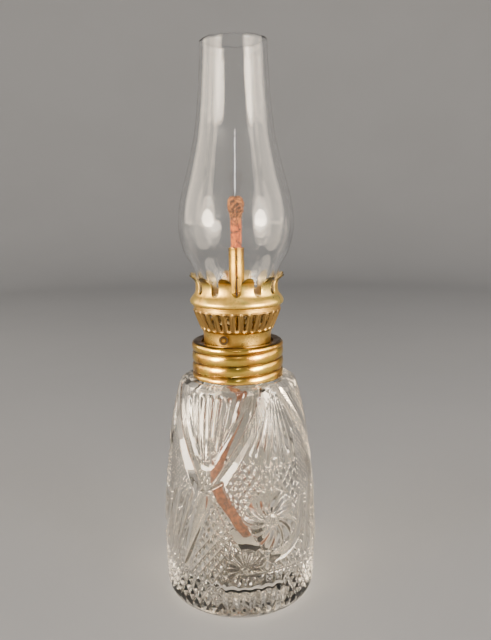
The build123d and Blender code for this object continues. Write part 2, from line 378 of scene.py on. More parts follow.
def aged_brass(name, bright, warm, dark, polish, recess=None, stain=None, band=None):
    """Sheet brass: bright where it is rubbed, warmer and duller in patches, brown tarnish and painted shade
    in its recesses.

    polish is the roughness of the brightest metal. recess is (bottom radius, top radius); stain is
    (low height, high height), where heat has coloured the metal more towards the high end; band is the
    (low height, high height) of a browner band. All three are in metres.
    """
    n = Nodes(name)
    brass = n.new("BsdfPrincipled", Metallic=1.0)
    patches = n.noise(170.0, 4.0, 0.6)
    colour = n.ramp(patches, [(0.38, bright), (0.56, warm), (0.74, dark)])
    speckle = n.span(n.noise(1500.0, 4.0, 0.7), 0.6, 0.75)
    colour = n.darkened(colour, dark, speckle, 0.55)
    rough = n.span(patches, 0.35, 0.75, polish, polish + 0.2)
    if recess:
        # brown tarnish in the grooves, deepened almost to black as painted shade
        depth = n.span(n.axis_distance(), recess[0], recess[1], 1.0, 0.0)
        colour = n.darkened(colour, dark, depth, 0.95)
        rough = n.math("ADD", rough, n.math("MULTIPLY", depth, 0.15))
    if stain:
        hot = n.span(n.height(), stain[0], stain[1])
        colour = n.darkened(colour, dark, hot, 0.95)
    if band:
        half = (band[1] - band[0]) / 2
        soft_edge = 0.0003
        from_middle = n.math("ABSOLUTE", n.math("SUBTRACT", n.height(), band[0] + half))
        inside = n.span(from_middle, half + soft_edge, half - soft_edge)
        colour = n.darkened(colour, dark, inside, 0.85)
        rough = n.math("ADD", rough, n.math("MULTIPLY", inside, 0.12))
    n.link(colour, brass.inputs["Base Color"])
    n.link(rough, brass.inputs["Roughness"])
    grain = n.noise(2600.0, 3.0, 0.6)
    dents = n.noise(240.0, 2.0, 0.5)
    height = n.math("ADD", n.math("MULTIPLY", grain, 0.15), dents)
    n.link(n.bump(height, 0.25, 0.0005), brass.inputs["Normal"])
    n.surface(brass.outputs["BSDF"])
    return n.material


def cork(name):
    """Pressed cork: small grains in light and dark brown."""
    n = Nodes(name)
    body = n.new("BsdfPrincipled", Roughness=0.9)
    grains = n.noise(1400.0, 3.0, 0.6)
    browns = [(0.35, (0.1, 0.045, 0.02)), (0.5, (0.32, 0.17, 0.08)), (0.7, (0.5, 0.3, 0.15))]
    n.link(n.ramp(grains, browns), body.inputs["Base Color"])
    n.link(n.bump(grains, 0.6, 0.0003), body.inputs["Normal"])
    n.surface(body.outputs["BSDF"])
    return n.material


def knitted_cotton(name, stops, char_from=None, char_to=None):
    """Knitted wick: fine yarn, soaked in oil, and burnt towards the top where two heights are given."""
    n = Nodes(name)
    yarn = n.new("BsdfPrincipled", Roughness=0.85, Sheen_Weight=0.03)
    blotches = n.noise(700.0, 4.0, 0.65)
    colour = n.ramp(blotches, stops)
    fibres = n.noise(3800.0, 3.0, 0.6, stretch=(1.0, 1.0, 0.3))
    colour = n.mix(n.span(fibres, 0.45, 0.75, 0.0, 0.35), colour, stops[0][1])
    if char_from is not None:
        burnt_browns = [
            (0.4, (0.006, 0.003, 0.002)), (0.48, (0.06, 0.018, 0.004)),
            (0.57, (0.22, 0.075, 0.012)), (0.7, (0.45, 0.24, 0.06))]
        burnt = n.ramp(n.noise(1100.0, 5.0, 0.7), burnt_browns)
        colour = n.mix(n.span(n.height(), char_from, char_to), colour, burnt)
    n.link(colour, yarn.inputs["Base Color"])
    n.link(n.bump(fibres, 0.5, 0.0002), yarn.inputs["Normal"])
    n.surface(yarn.outputs["BSDF"])
    return n.material


def plain_floor(name, colour):
    """A plain pale surface with a barely visible mottle."""
    n = Nodes(name)
    cloth = n.new("BsdfPrincipled", Roughness=0.8)
    lighter = tuple(c * 1.03 for c in colour)
    n.link(n.ramp(n.noise(6.0, 3.0), [(0.4, colour), (0.6, lighter)]), cloth.inputs["Base Color"])
    n.surface(cloth.outputs["BSDF"])
    return n.material


GOLD = (0.93, 0.63, 0.12)
WARM = (0.8, 0.42, 0.07)
BROWN = (0.2, 0.09, 0.03)
GROOVE_BOTTOM = CAP_RADIUS - 0.62
RIDGE_TOP = CAP_RADIUS - 0.12

font_glass = clear_glass("pressed_glass", (1.0, 0.955, 0.875), 1.52, (0.97, 0.96, 0.94))
chimney_glass = clear_glass("blown_glass", (0.99, 0.99, 0.985), 1.48, (0.97, 0.97, 0.97))
# the cap's dark is near black, so its grooves carry painted shade as well as tarnish
cap_brass = aged_brass("cap_brass", (0.94, 0.64, 0.11), WARM, (0.06, 0.035, 0.012), 0.12,
                       recess=(GROOVE_BOTTOM * MM, RIDGE_TOP * MM))
crown_brass = aged_brass("crown_brass", (1.0, 0.74, 0.18), (0.92, 0.58, 0.12), (0.05, 0.04, 0.02), 0.27,
                         stain=(0.106, 0.1075))
basket_brass = aged_brass("basket_brass", (0.86, 0.55, 0.12), (0.7, 0.4, 0.08), (0.22, 0.14, 0.055), 0.26,
                          band=(0.0917, 0.098))
tube_brass = aged_brass("tube_brass", (0.82, 0.53, 0.04), (0.62, 0.37, 0.04), BROWN, 0.22,
                        stain=((TUBE_MOUTH - 14.0) * MM, (TUBE_MOUTH + 8.0) * MM))
inside_brass = aged_brass("inside_brass", (0.5, 0.4, 0.2), (0.42, 0.31, 0.14), BROWN, 0.38)
raiser_brass = aged_brass("raiser_brass", GOLD, WARM, BROWN, 0.25)
# painted shade: the eyelet rings get a dark brown that stands in for the shade they sit in
shaded_eyelet_brass = aged_brass("shaded_eyelet_brass", (0.22, 0.16, 0.07), (0.15, 0.1, 0.045), (0.05, 0.03, 0.015), 0.35)
washer_cork = cork("washer_cork")
wick_cotton = knitted_cotton("wick_cotton", [
    (0.43, (0.03, 0.006, 0.001)), (0.5, (0.2, 0.03, 0.0005)), (0.58, (0.36, 0.085, 0.001))],
    (WICK_TOP - 9.5) * MM, (WICK_TOP - 6.5) * MM)
# painted shade: the tail is the wick's yarn, given much darker browns for where it hangs inside the font
shaded_tail_cotton = knitted_cotton("shaded_tail_cotton", [
    (0.4, (0.015, 0.005, 0.002)), (0.5, (0.065, 0.018, 0.004)), (0.62, (0.13, 0.045, 0.012))])


# ---- camera ----
def add_camera():
    """A compact camera held close to the lamp, level with the wick's top and looking a little down.

    Being so near, it sees the chimney's mouth from just below and the foot from well above.
    """
    distance = 0.220
    camera_height = 0.134
    pitch = math.radians(10.42)
    lean = math.radians(0.7)
    spot = Vector((0.0027, -distance, camera_height))
    data = bpy.data.cameras.new("camera")
    data.sensor_width = 36.0
    data.lens = 38.5
    data.clip_start = 0.01
    data.clip_end = 20.0
    camera = add_object("camera", data)
    camera.location = spot
    camera.rotation_mode = "QUATERNION"
    ahead = Vector((0, math.cos(pitch), -math.sin(pitch)))
    level = ahead.to_track_quat("-Z", "Y")
    camera.rotation_quaternion = Quaternion(ahead, lean) @ level
    bpy.context.scene.camera = camera


add_camera()


# ---- font ----
# The pressed pattern repeats three times round the font. It is laid out flat, in millimetres:
# across is the distance from the middle of a repeat, height is the height above the table.
REPEATS = 3
REPEAT_WIDTH = TURN * 25.0 / REPEATS
FIRST_REPEAT = FRONT - math.radians(25)


def wrapped(across):
    """A distance across, brought back to the nearest repeat."""
    return across - REPEAT_WIDTH * np.round(across / REPEAT_WIDTH)


def lattice(across, height, cuts, rise, depth):
    """Small pyramids left between two families of slanting V cuts."""
    rising = zigzag(cuts * across / REPEAT_WIDTH + height / rise)
    falling = zigzag(cuts * across / REPEAT_WIDTH - height / rise)
    return depth * np.maximum(rising, falling)


def beyond_chevron(across, height, foot, foot_height, lean):
    """Distance outwards from the two legs of a V that opens upwards from the middle of the repeat."""
    return (np.abs(across) - foot - lean * (height - foot_height)) / math.hypot(1.0, lean)


def beside_line(across, height, start, end):
    """Distance from a straight line, and how far along it, 0 at its start and 1 at its end."""
    step = np.array(end, float) - np.array(start, float)
    length = math.hypot(*step)
    dx = wrapped(across - start[0])
    dz = height - start[1]
    along = (dx * step[0] + dz * step[1]) / length**2
    beside = (dx * step[1] - dz * step[0]) / length
    return beside, along


def lens(across, height, start, end, half_width, depth):
    """A hollow cut that is widest half way along a line and pointed at its ends."""
    beside, along = beside_line(across, height, start, end)
    width = half_width * np.sqrt(np.clip(1 - (2 * along - 1) ** 2, 0.001, 1))
    return flute(beside, width, depth * width / half_width)


def polar(across, height, centre):
    """Distance and direction from a centre in the flat pattern."""
    dx = wrapped(across - centre[0])
    dz = height - centre[1]
    return np.hypot(dx, dz), np.arctan2(dz, dx)


def cover(depth, mask, new_depth):
    """Puts one part of the pattern over another."""
    return depth * (1 - mask) + new_depth * mask


def off_whole(count):
    """How far a count is from the nearest whole number."""
    return count - np.round(count)


def outside_wide_chevron(across, height):
    """Distance outwards from the wide flute of the chevrons."""
    return beyond_chevron(across, height, 3.65, 44.9, 0.68)


def press_lower_band(depth, across, height):
    """Below, the pyramids give way to taller ones, and in front to upright petals."""
    band = 1 - smoothstep(15.8, 16.6, height)
    tall_lozenges = lattice(across, height, 16, 5.2, 1.15)
    petals = mitre(0.5 - np.mod(15 * across / REPEAT_WIDTH, 1.0), 0.5, 1.0) * (0.35 + 0.05 * height)
    toward_front = window(7.0, 33.0, 3.0, across)
    return cover(depth, band, cover(tall_lozenges, toward_front, petals))


def press_hanging_fan(depth, across, height):
    """A fan of long cuts hangs from the meeting of neighbouring chevrons, beside finer pyramids."""
    centre = (REPEAT_WIDTH / 2, 78.5)
    spacing = math.radians(7.0)
    longest = 31.0
    outside = outside_wide_chevron(across, height)
    reach, direction = polar(across, height, centre)
    ray = (direction + math.pi / 2) / spacing
    ray_length = longest - 5.0 * (np.abs(np.round(ray)) % 2)
    cuts = mitre(off_whole(ray), 0.5, 0.95) * (1 - smoothstep(ray_length - 4, ray_length, reach))
    cuts = cuts * smoothstep(2.0, 8.0, reach)
    fan_area = smoothstep(1.6, 2.2, outside) * smoothstep(45.0, 48.0, height)
    depth = cover(depth, fan_area * (1 - smoothstep(25.0, 30.0, reach)), cuts)
    beside_fan = window(-19.0, -4.0, 0.6, across) * window(40.0, 61.0, 0.6, height)
    fine = lattice(across, height, 32, 1.6, 0.45)
    return cover(depth, beside_fan * smoothstep(1.6, 2.2, outside), fine)


def press_chevrons(depth, across, height):
    """The chevrons: a smooth field between two flutes, and a fan of cuts inside.

    The wide flute's floor slopes outwards, more steeply up its right leg, to catch the light.
    """
    flute_half = 1.95
    fan_foot = 41.0
    fan_spacing = math.radians(6.2)
    outside = outside_wide_chevron(across, height)
    depth = depth * smoothstep(-0.3, 0.0, outside)
    outside_narrow = beyond_chevron(across, height, 1.93, 53.0, 0.61)
    ray = np.arctan2(across, np.maximum(height - fan_foot, 0.1)) / fan_spacing
    fan = mitre(off_whole(ray), 0.5, 0.85) * smoothstep(50.0, 57.0, height)
    fan = fan * (1 - smoothstep(72.0 - 0.5 * np.abs(np.round(ray)), 74.0, height))
    depth = cover(depth, 1 - smoothstep(-0.3, 0.0, outside_narrow), fan)
    depth = depth + flute(outside_narrow, 1.3, 0.28) * smoothstep(50.0, 52.5, height)
    steepness = 0.42 + 0.022 * np.clip(height - 47.0, 0.0, 14.0) * (across > 0)
    wide_flute = flute(outside, flute_half, 0.12) + steepness * (flute_half - outside)
    return cover(depth, (np.abs(outside) < flute_half) * smoothstep(41.0, 43.0, height), wide_flute)


def press_long_hollows(depth, across, height):
    """Three pointed hollows run down from the chevrons' point."""
    for start, end, half_width, deepest in (
            ((0.5, 43.5), (-9.0, 17.5), 2.3, 0.7),
            ((-5.0, 44.0), (-13.5, 20.0), 1.5, 0.8),
            ((-12.0, 43.0), (-17.5, 19.0), 2.1, 0.7)):
        beside, along = beside_line(across, height, start, end)
        inside = (np.abs(beside) < half_width * 1.15) * window(0.02, 0.98, 0.02, along)
        depth = cover(depth, inside, lens(across, height, start, end, half_width, deepest))
    return depth


def press_pinwheel(depth, across, height):
    """A pinwheel, with a button in its middle and a crescent beside it."""
    centre = (21.5, 34.5)
    button = 2.2
    blades = 13
    twist = 0.13
    crescent_radius = 12.0
    reach, direction = polar(across, height, centre)
    blade = direction * blades / TURN + twist * reach
    wheel = mitre(off_whole(blade), 0.5, 0.9) * window(3.0, 9.0, 0.9, reach)
    wheel = np.where(reach < button, 0.35 * (reach / button) ** 2, wheel)
    depth = cover(depth, 1 - smoothstep(9.6, 10.2, reach), wheel)
    crescent = flute(reach - crescent_radius, 2.2, 0.7)
    crescent = crescent * window(math.radians(-80), math.radians(5), 0.35, direction)
    return cover(depth, (crescent > 0.02) * 1.0, crescent)


def press_plain_strip(depth, across, height):
    """A plain strip, through which the wick's tail shows."""
    top_end = (2.8, 46.0)
    low_end = (15.6, 24.0)
    strip_depth = 0.3
    beside, along = beside_line(across, height, top_end, low_end)
    strip = (1 - smoothstep(2.9, 3.2, np.abs(beside))) * window(0.03, 0.97, 0.02, along)
    return cover(depth, strip, strip_depth)


def press_starburst(depth, across, height):
    """A small starburst below the strip."""
    centre = (12.5, 19.5)
    points = 16
    reach, direction = polar(across, height, centre)
    star = mitre(off_whole(direction * points / TURN), 0.42, 0.9) * window(1.2, 4.6, 1.6, reach)
    return cover(depth, 1 - smoothstep(5.0, 6.8, reach), star)


def pattern_depth(across, height):
    """How deep the pattern is cut into the font's side."""
    depth = lattice(across, height, 17, 3.9, 1.05)
    for press in (press_lower_band, press_hanging_fan, press_chevrons, press_long_hollows,
                  press_pinwheel, press_plain_strip, press_starburst):
        depth = press(depth, across, height)
    groove_height = 17.2
    deepest_at = 24.0
    swell = 0.5 + 0.5 * np.cos(TURN * (across - deepest_at) / REPEAT_WIDTH)
    groove = flute(height - groove_height, 1.3, 1.15) * swell
    return np.maximum(depth, groove) * window(7.0, 73.2, 4.5, height)


def pressed_font():
    """The font: a thick pressed-glass bottle with a threaded neck and a star cut under its foot."""
    recess = 1.2
    neck_radius = 13.5
    lip = 0.6
    mouth_radius = 10.4
    star_points = 24
    parts = {
        "underside": line((0.4, recess), (13.0, recess), 22),
        "ring": np.vstack([line((13.0, recess), (14.5, 0), 5), line((14.5, 0), (19.5, 0), 8)]),
        "foot": curve_through([(19.5, 0), (21.7, 0.6), (23.6, 1.9), (24.8, 3.9), (25.3, 6.5)], 28)[:-1],
        "side": curve_through([
            (25.3, 6.5), (25.7, 20), (25.3, 33), (24.2, 46), (22.1, 61.5), (19.6, 72.8)], 240)[:-1],
        "shoulder": curve_through([(19.6, 72.8), (18.7, 74.5), (16.8, SHOULDER)], 10)[:-1],
        "collar": line((16.8, SHOULDER), (neck_radius, SHOULDER), 6),
        "neck": line((neck_radius, SHOULDER), (neck_radius, NECK_TOP - lip), 44),
        "lip": np.vstack([
            arc((neck_radius - lip, NECK_TOP - lip), lip, 0, 90, 5),
            arc((mouth_radius + lip, NECK_TOP - lip), lip, 90, 180, 5)]),
        "cavity": np.vstack([
            line((mouth_radius, NECK_TOP - 0.7), (mouth_radius, 78), 8),
            curve_through([
                (mouth_radius, 78), (11.2, 74.4), (13.8, 70), (18.0, 58), (20.0, 43), (20.4, 15)], 90)[:-1],
            curve_through([(20.4, 15), (19.7, 11.5), (17.8, 8.8), (13, 7)], 14)[:-1],
            line((13, 7), (0.4, 6), 14)]),
    }
    outline = np.vstack(list(parts.values()))
    part = np.repeat(list(parts), [len(points) for points in parts.values()])[:, None]
    outer_side = np.isin(part, ("foot", "side", "shoulder"))

    def shape(angle, radius, height):
        across = wrapped((angle - FIRST_REPEAT) / TURN * REPEATS * REPEAT_WIDTH)
        cut = np.where(outer_side, pattern_depth(across, height), 0.0)
        turned_by = ((angle - math.pi) % TURN) / TURN
        ridge = np.zeros_like(height)
        thread_start = NECK_TOP - 5.8
        for turns in (turned_by, turned_by + 1):
            offset = np.abs(height - (thread_start + THREAD_PITCH * turns))
            ends = smoothstep(0.0, 0.06, turns) * (1 - smoothstep(1.14, 1.2, turns))
            ridge = np.maximum(ridge, 0.8 * np.clip((1.05 - offset) / 0.55, 0, 1) * ends)
        ridge = np.where(part == "neck", ridge, 0.0)
        wave = np.where(part == "cavity", 0.16 * ripple(angle, height, 5), 0.0)
        star = 0.5 * zigzag(star_points * angle / TURN) * window(3.0, 11.0, 1.5, radius)
        return radius - cut + ridge + wave, height + np.where(part == "underside", star, 0.0)

    points, faces = turned(outline, 600, shape, poles=True)
    font = make_mesh("pressed_font", points, faces, "font", font_glass)
    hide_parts("font_glass")


pressed_font()


# ---- chimney ----
def blown_chimney():
    """The bulbed chimney: slightly uneven, with a cracked-off rim that is only smoothed by fire."""
    wall = 1.2
    rim_drop = 0.6
    foot_rise = 0.5
    foot = chimney_low[2]
    top = chimney_high[2]
    outer = curve_through([
        (12.4, foot + foot_rise), (12.5, 105.2), (14.1, 111.2), (17.0, 116.6), (18.5, 124.3), (17.5, 132.8),
        (14.6, 143.8), (12.4, 153.6), (11.1, 165.4), (10.5, 175), (10.4, top - rim_drop)], 150)
    slope = unit(np.gradient(outer, axis=0))
    inner = (outer - wall * np.stack([slope[:, 1], -slope[:, 0]], axis=1))[::-1]
    rim = arc((outer[-1][0] - wall / 2, top - rim_drop), wall / 2, 0, 180, 7)[1:-1]
    foot_rim = arc((outer[0][0] - wall / 2, foot + foot_rise), wall / 2, 180, 360, 7)[1:-1]
    outline = np.vstack([outer, rim, inner, foot_rim])

    def shape(angle, radius, height):
        near_top = smoothstep(top - 9.0, top, height)
        chips = 0.10 * np.sin(9 * angle + 1.0) + 0.07 * np.sin(17 * angle) + 0.05 * np.sin(31 * angle + 2)
        dip = 0.32 * (0.5 + 0.5 * np.cos(angle - math.pi)) + 0.2 + chips
        wobble = 0.13 * ripple(angle, height, 3, 1.6) * smoothstep(foot + 2.0, foot + 14.0, height)
        return radius + wobble, height - near_top * dip

    points, faces = turned(outline, 192, shape, closed_rows=True)
    chimney = make_mesh("blown_chimney", points, faces, "chimney", chimney_glass)
    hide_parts("chimney")


blown_chimney()


# ---- screw cap ----
def rolled_cap():
    """The cap: thin brass with a rolled thread, which shows as rounded ridges between narrow grooves."""
    groove_depth = 0.75
    crown_roll = 1.3
    wall_top = CAP_TOP - crown_roll
    wall_radius = CAP_RADIUS - 0.05
    wall_bottom = CAP_BOTTOM + 0.35
    lowest_ridge = CAP_BOTTOM + 2.2
    outline = np.vstack([
        line((CAP_RADIUS - 0.25, CAP_BOTTOM + 0.1), (wall_radius, wall_bottom), 3),
        line((wall_radius, wall_bottom), (wall_radius, wall_top), 110),
        arc((wall_radius - crown_roll, wall_top), crown_roll, 0, 100, 12),
        line((13.0, CAP_TOP - 0.08), (11.7, CAP_TOP - 0.3), 6),
        [(11.6, CAP_TOP - 0.45)],
    ])

    def shape(angle, radius, height):
        centre = lowest_ridge + THREAD_PITCH * (angle - 1.5 * math.pi) / TURN
        turns = (height - centre) / THREAD_PITCH
        from_ridge = 1 - 2 * np.abs(turns - np.round(turns))
        groove = 1 - np.sqrt(1 - 0.98 * from_ridge**2)
        fade = window(CAP_BOTTOM + 1.6, CAP_TOP - 2.1, 0.9, height)
        on_wall = radius > 13.9
        dent = 0.05 * ripple(angle, height, 8)
        return radius - groove_depth * groove * fade * on_wall + dent, height

    points, faces = turned(outline, 256, shape)
    cap = make_mesh("rolled_cap", points, faces, "burner", cap_brass)
    add_thickness(cap, 0.42, inside_brass)
    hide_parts("screw_cap")


rolled_cap()


# ---- burner basket ----
BASKET_LINE = curve_through([
    (10.9, 86.6), (10.95, 88.2), (11.05, 89.6), (11.4, 91.0), (12.25, 93.1), (13.1, 95.2), (13.7, 96.9),
    (13.9, 97.7), (13.9, 98.8)], 120)


def basket_radius(height):
    """The basket's outer radius at a height."""
    return np.interp(height, BASKET_LINE[:, 1], BASKET_LINE[:, 0])


def pierced_cell(angle, half_width, low, high, hole_low, hole_high, hole_width, rings, count):
    """Rings of (angle, height, hole closeness) from an oval hole out to the edge of its cell."""
    middle = (low + high) / 2
    around = np.linspace(0, TURN, count, endpoint=False)
    tall = (hole_high - hole_low) / 2
    taper = 1 + 0.25 * np.sin(around)
    hole_middle = (hole_low + hole_high) / 2
    hole = np.stack([hole_width * taper * np.cos(around), hole_middle + tall * np.sin(around)], axis=1)
    reach = 1 / np.maximum(np.abs(np.cos(around)), np.abs(np.sin(around)))
    half_height = (high - low) / 2 * reach
    edge = np.stack([half_width * reach * np.cos(around), middle + half_height * np.sin(around)], axis=1)
    grid = []
    for step in np.linspace(0, 1, rings):
        ring = hole * (1 - step) + edge * step
        grid.append(np.stack([angle + ring[:, 0], ring[:, 1], np.full(count, 1 - step)], axis=1))
    return np.array(grid)


def pierced_basket():
    """The basket: a stamped cone with a row of raised, pierced ovals between two plain bands."""
    cells = 30
    count = 40
    rings = 7
    half_cell = TURN / cells / 2
    low, high = 91.1, 98.0
    hole_low, hole_high = 92.0, 97.2
    hole_half_width = half_cell * 0.34
    lip_height = 0.42
    hole_sink = 0.15
    points = []
    faces = []
    for cell in range(cells):
        grid = pierced_cell(FRONT + 2 * half_cell * cell, half_cell, low, high, hole_low, hole_high,
                            hole_half_width, rings, count)
        lip = lip_height * np.sin(np.clip(grid[:, :, 2] * 1.25, 0, 1) * math.pi)
        radius = basket_radius(grid[:, :, 1]) + lip - hole_sink * grid[:, :, 2]
        faces += faces_from(len(points), grid_faces(rings, count))
        for r in range(rings):
            for c in range(count):
                points.append(around_axis(radius[r, c], grid[r, c, 0], grid[r, c, 1]))

    # the plain bands take their columns from the cells' edges, so that the sheet is one piece
    columns = -half_cell / np.tan(np.radians(np.arange(45, 135, 360 / count)))
    angles = np.concatenate([FRONT + 2 * half_cell * cell + columns for cell in range(cells)])
    for band in (np.linspace(high, basket_high[2] - 0.1, 9), np.linspace(basket_low[2] + 0.3, low, 14)):
        faces += faces_from(len(points), grid_faces(len(band), len(angles)))
        for height in band:
            radius = float(basket_radius(height))
            points += [around_axis(radius, angle, height) for angle in angles]

    basket = make_mesh("pierced_basket", points, faces, "burner", basket_brass)
    add_thickness(basket, 0.3, inside_brass)
    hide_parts("burner_basket")


pierced_basket()


# ---- gallery crown ----
CROWN_LINE = curve_through([(11.6, 99.4), (14.2, 99.4), (14.95, 99.7), (15.1, 100.6), (14.5, 101.7),
                            (13.6, 102.9), (13.3, 104.2), (13.3, 105.8), (13.75, 106.9), (14.6, 107.8),
                            (15.65, 108.7)], 200)
# the part above the crown's foot, where each height has one radius
CROWN_TOP_PART = CROWN_LINE[60:]


def crown_radius(height):
    """The crown's outer radius at a height above its foot."""
    return np.interp(height, CROWN_TOP_PART[:, 1], CROWN_TOP_PART[:, 0])


def prong_crown():
    """The ring that holds the chimney: twelve springy prongs with rounded, flared tips."""
    prongs = 12
    gap_width, gap_radius = 2.9, 13.3
    half_gap = gap_width / 2 / gap_radius
    half_prong = math.pi / prongs - half_gap
    slot_bottom = 102.9
    slot_roundness = 1.3
    straight_from = slot_bottom + slot_roundness
    rounded_from = 106.3
    tip = 108.8
    rng = np.random.default_rng(4)
    points = []
    in_slot = half_gap * np.sin(np.linspace(-math.pi / 2, math.pi / 2, 13))
    in_prong = np.linspace(half_gap, math.pi / prongs, 6)[1:]
    columns = np.concatenate([-in_prong[::-1][1:], in_slot, in_prong])
    angles = np.concatenate([FRONT + TURN * k / prongs + columns for k in range(prongs)])
    edge = straight_from - slot_roundness * np.sqrt(np.clip(1 - (columns / half_gap) ** 2, 0, 1))
    edge = np.tile(edge, prongs)

    lower = CROWN_LINE[CROWN_LINE[:, 1] < 100.7]
    rows = [np.stack([np.full(len(angles), r), np.full(len(angles), z)]) for r, z in lower[::3]]
    start = rows[-1][1][0]
    for step in np.linspace(0, 1, 16)[1:]:
        height = start + (edge - start) * step
        rows.append(np.stack([crown_radius(height), height]))
    for radius, height in rows:
        points += [around_axis(r, angle, z) for r, angle, z in zip(radius, angles, height)]
    faces = grid_faces(len(rows), len(angles))

    across = np.linspace(-1, 1, 11)
    for k in range(prongs):
        middle = FRONT + TURN * (k + 0.5) / prongs
        bend = rng.uniform(-0.18, 0.18)
        short = rng.uniform(0.0, 0.2)
        heights = straight_from + (tip - short - straight_from) * np.sin(np.linspace(0, math.pi / 2, 16))
        faces += faces_from(len(points), grid_faces(len(heights), len(across), closed_columns=False))
        for height in heights:
            climb = (height - rounded_from) / (tip - short - rounded_from)
            narrowing = math.sqrt(max(0.02, 1 - max(climb, 0.0) ** 2))
            radius = float(crown_radius(height)) + bend * smoothstep(105.0, tip, height)
            points += [around_axis(radius, middle + half_prong * narrowing * a, height) for a in across]
    crown = make_mesh("prong_crown", points, faces, "burner", crown_brass)
    add_thickness(crown, 0.4, inside_brass)
    soften_edges(crown, 0.08)
    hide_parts("gallery_crown")


prong_crown()


# ---- wick tube ----
def seamed_tube():
    """The wick tube: rolled sheet, with an open seam in front and a window for the spur wheel."""
    wall = 0.4
    outer = (tube_high[0] - tube_low[0]) / 2
    bore = outer - wall
    window_half_height = 2.3
    window_half_width = 1.15
    half_seam = 0.07 / outer
    spread = np.linspace(half_seam, TURN - half_seam, 72)
    near_seam = np.minimum(spread, TURN - spread)
    lip = 0.16 * np.exp(-((near_seam - 0.16) / 0.12) ** 2)
    lip -= 0.45 * np.exp(-((near_seam - half_seam) / 0.05) ** 2)
    section = [around_axis(r, FRONT + a, 0) for a, r in zip(spread, outer + lip)]
    section += [around_axis(r, FRONT + a, 0) for a, r in zip(spread[::-1], bore + 0.3 * lip[::-1])]
    sill = SPINDLE_HEIGHT - window_half_height
    lintel = SPINDLE_HEIGHT + window_half_height
    heights = np.concatenate([
        np.linspace(tube_low[2], sill, 8), np.linspace(sill, lintel, 7)[1:],
        np.linspace(lintel, TUBE_MOUTH - 1.2, 30)[1:],
        TUBE_MOUTH - np.array([0.9, 0.6, 0.35, 0.15, 0.0])])
    points = []
    for height in heights:
        near_mouth = smoothstep(TUBE_MOUTH - 1.0, TUBE_MOUTH, height)
        swell = 1 + (0.07 * near_mouth + 0.02 * math.sin(0.7 * height)) / outer
        for x, y, _ in section:
            points.append((x * swell, y * swell, height + 0.1 * near_mouth * math.sin(3 * x)))
    count = len(section)
    half = count // 2
    last = (len(heights) - 1) * count

    # the window: its faces are left out of both walls, and its four sides are closed
    toward_wheel = math.pi - FRONT
    left = int(np.searchsorted(spread, toward_wheel - window_half_width / outer))
    right = int(np.searchsorted(spread, toward_wheel + window_half_width / outer)) - 1
    bottom = int(np.searchsorted(heights, sill - 0.01))
    top = int(np.searchsorted(heights, lintel - 0.01))
    wall_columns = set(range(left, right)) | {count - 2 - c for c in range(left, right)}
    faces = [face for face in grid_faces(len(heights), count)
             if not (bottom <= face[0] // count < top and face[0] % count in wall_columns)]
    for row in (bottom, top):
        for c in range(left, right):
            first = row * count
            faces.append((first + c, first + c + 1, first + count - 2 - c, first + count - 1 - c))
    for column in (left, right):
        for row in range(bottom, top):
            outside = row * count + column
            inside = row * count + count - 1 - column
            faces.append((outside, outside + count, inside + count, inside))
    for c in range(half - 1):
        faces.append((c, c + 1, count - 2 - c, count - 1 - c))
        faces.append((last + c, last + count - 1 - c, last + count - 2 - c, last + c + 1))
    tube = make_mesh("seamed_tube", points, faces, "burner", tube_brass)
    soften_edges(tube, 0.05, angle_deg=50)
    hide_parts("wick_tube")


seamed_tube()


# ---- wick ----
KNIT_RELIEF = 0.22


def knit(angle, height):
    """The pattern of knitted yarn, from 0 to 1: rows of small stitches that lean alternately."""
    stitches = 9
    row_height = 0.62
    row = height / row_height
    lean = 0.5 * np.abs(np.mod(angle * stitches / TURN, 1.0) - 0.5)
    stitch = np.abs(np.sin(math.pi * (row + 2 * lean)))
    wale = np.abs(np.cos(angle * stitches / 2))
    return 0.6 * stitch + 0.4 * wale


def burnt_wick():
    """The wick above and inside the tube, pinched by the mouth and burnt to a ragged crown."""
    mouth = TUBE_MOUTH
    outline = curve_through([
        (1.85, tube_low[2] + 0.2), (1.9, 98), (1.85, mouth - 2), (1.68, mouth + 0.2), (1.72, mouth + 2.2),
        (1.78, mouth + 5.5), (1.8, mouth + 9.0), (2.1, mouth + 10.9), (2.5, mouth + 12.4),
        (2.48, mouth + 14.4), (2.0, WICK_TOP - 0.5), (1.2, WICK_TOP + 0.1), (0.35, WICK_TOP - 0.1)], 230)
    below_tip = 1.3

    def shape(angle, radius, height):
        relief = KNIT_RELIEF * (knit(angle, height) - 0.6) * (radius > below_tip)
        burnt = smoothstep(mouth + 10.0, mouth + 12.2, height)
        lumps = 0.22 * ripple(angle, height, 11, 0.12) + 0.16 * ripple(3 * angle, height, 12, 0.06)
        lumps = lumps + 0.12 * np.sin(7 * angle + 5 * height) * np.sin(2 * angle - 4 * height)
        sag = 0.3 * ripple(angle, height, 13, 0.5)
        return radius + relief * (1 - 0.4 * burnt) + burnt * lumps, height + burnt * sag

    points, faces = turned(outline, 84, shape, poles=True)
    wick = make_mesh("burnt_wick", points, faces, "wick", wick_cotton)
    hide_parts("wick")


